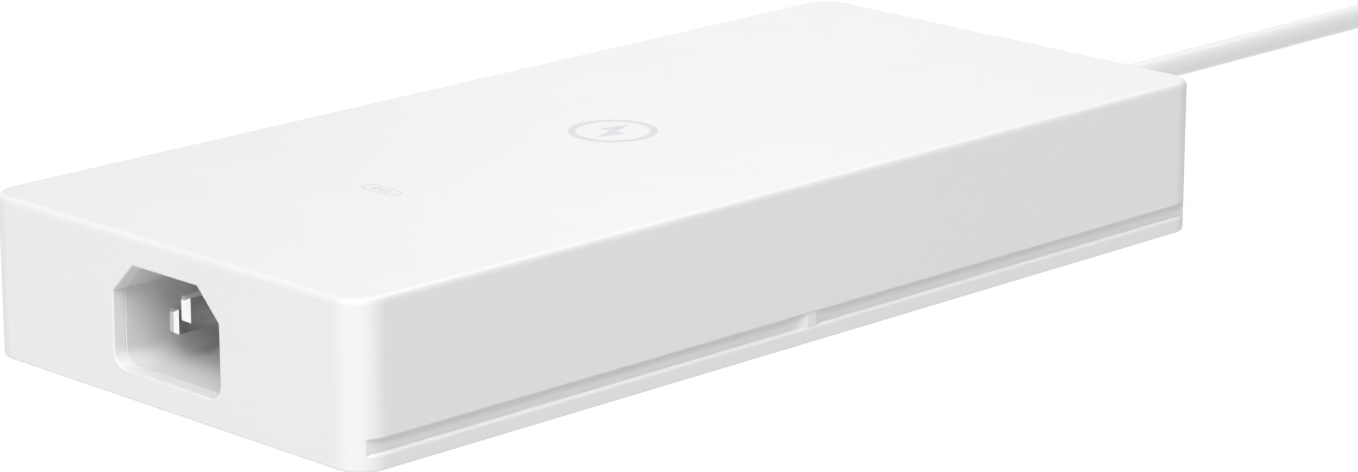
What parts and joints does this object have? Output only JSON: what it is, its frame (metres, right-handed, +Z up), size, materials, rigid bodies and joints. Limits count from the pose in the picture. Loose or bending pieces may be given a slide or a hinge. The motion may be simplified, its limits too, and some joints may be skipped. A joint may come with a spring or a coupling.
{
  "type": "mains power injector",
  "caption": "Slim white rectangular mains power injector with rounded corners, a three-blade inlet at one end, a captive output lead at the other and bracket grooves along its sides.",
  "frame": {"origin": "centre of the case's flat underside", "axes": "+Z up out of the lid face; +X along the case towards the output lead, so the mains inlet faces -X; +Y across the case"},
  "size_m": [0.3395, 0.088, 0.0265],
  "materials": {
    "case_plastic": "white moulded polycarbonate, very fine spark texture, satin",
    "base_plastic": "white moulded polycarbonate, light texture",
    "inlet_plastic": "white-grey moulded nylon, satin",
    "label": "plain printed polyester label",
    "blade_nickel": "nickel-plated brass, polished",
    "screw_steel": "zinc-plated steel",
    "relief_rubber": "white soft moulded PVC",
    "lead_jacket": "white PVC cable jacket, satin",
    "wire_red": "red PVC insulation",
    "wire_black": "black PVC insulation",
    "plug_rubber": "white soft moulded PVC, satin",
    "plug_nickel": "nickel plate, polished",
    "plug_insulator": "black nylon",
    "board_laminate": "green solder mask on glass epoxy",
    "fuse_glass": "cream ceramic tube",
    "disc_blue": "blue epoxy coat",
    "disc_green": "dark green epoxy coat",
    "capacitor_box": "yellow moulded box",
    "capacitor_sleeve": "black heat-shrink sleeve",
    "ferrite": "dark grey sintered ferrite",
    "ring_core": "green coated powder core",
    "copper": "enamelled copper wire",
    "bobbin": "black phenolic",
    "winding_tape": "yellow polyester tape",
    "semiconductor": "black moulding compound",
    "sheet_aluminium": "plain sheet",
    "insulation": "black polypropylene film",
    "thermal_pad": "grey-blue silicone pad"
  },
  "bodies": {
    "case": {"top_shell": "case_plastic", "base_cover": "base_plastic", "base_screws": "screw_steel", "rating_label": "label", "inlet_body": "inlet_plastic", "line_blade": "blade_nickel", "neutral_blade": "blade_nickel", "earth_blade": "blade_nickel", "strain_relief": "relief_rubber", "lead_fixed_end": "lead_jacket", "output_wire_positive": "wire_red", "output_wire_negative": "wire_black", "main_board": "board_laminate", "board_screws": "screw_steel", "fuse_tube": "fuse_glass", "fuse_caps": "blade_nickel", "varistor": "disc_blue", "thermistor": "disc_green", "input_capacitor": "capacitor_box", "filter_capacitor": "capacitor_box", "line_capacitors": "disc_blue", "input_choke_core": "ring_core", "input_choke_windings": "copper", "filter_choke_core": "ring_core", "filter_choke_windings": "copper", "bridge_rectifier": "semiconductor", "rectifier_heatsink": "sheet_aluminium", "boost_inductor_core": "ferrite", "boost_inductor_winding": "copper", "bulk_capacitors": "capacitor_sleeve", "primary_heatsink": "sheet_aluminium", "primary_switches": "semiconductor", "transformer_core": "ferrite", "transformer_bobbin": "bobbin", "transformer_windings": "winding_tape", "output_heatsink": "sheet_aluminium", "output_rectifiers": "semiconductor", "switch_screws": "screw_steel", "output_choke_core": "ring_core", "output_choke_winding": "copper", "output_capacitors": "capacitor_sleeve", "controller_chips": "semiconductor", "optocouplers": "semiconductor", "control_card": "board_laminate", "control_card_chips": "semiconductor", "thermal_pads": "thermal_pad", "insulation_film": "insulation", "base_insulator": "insulation", "heat_spreader": "sheet_aluminium"},
    "lead_first": {"lead_first_link": "lead_jacket"},
    "lead_second": {"lead_second_link": "lead_jacket", "plug_overmould": "plug_rubber", "plug_sleeve": "plug_nickel", "plug_insulator": "plug_insulator", "plug_contact": "plug_nickel"}
  },
  "joints": [
    {"name": "lead_sway", "type": "hinge", "parent": "case", "child": "lead_first", "pos_m": [0.125, 0, 0.0132], "axis": [0, 0, 1], "range_deg": [-45, 45], "stiffness_Nm_per_rad": 0.02},
    {"name": "lead_lift", "type": "hinge", "parent": "lead_first", "child": "lead_second", "pos_m": [0.15, 0, 0.0132], "axis": [0, -1, 0], "range_deg": [-5, 40], "stiffness_Nm_per_rad": 0.05}
  ]
}
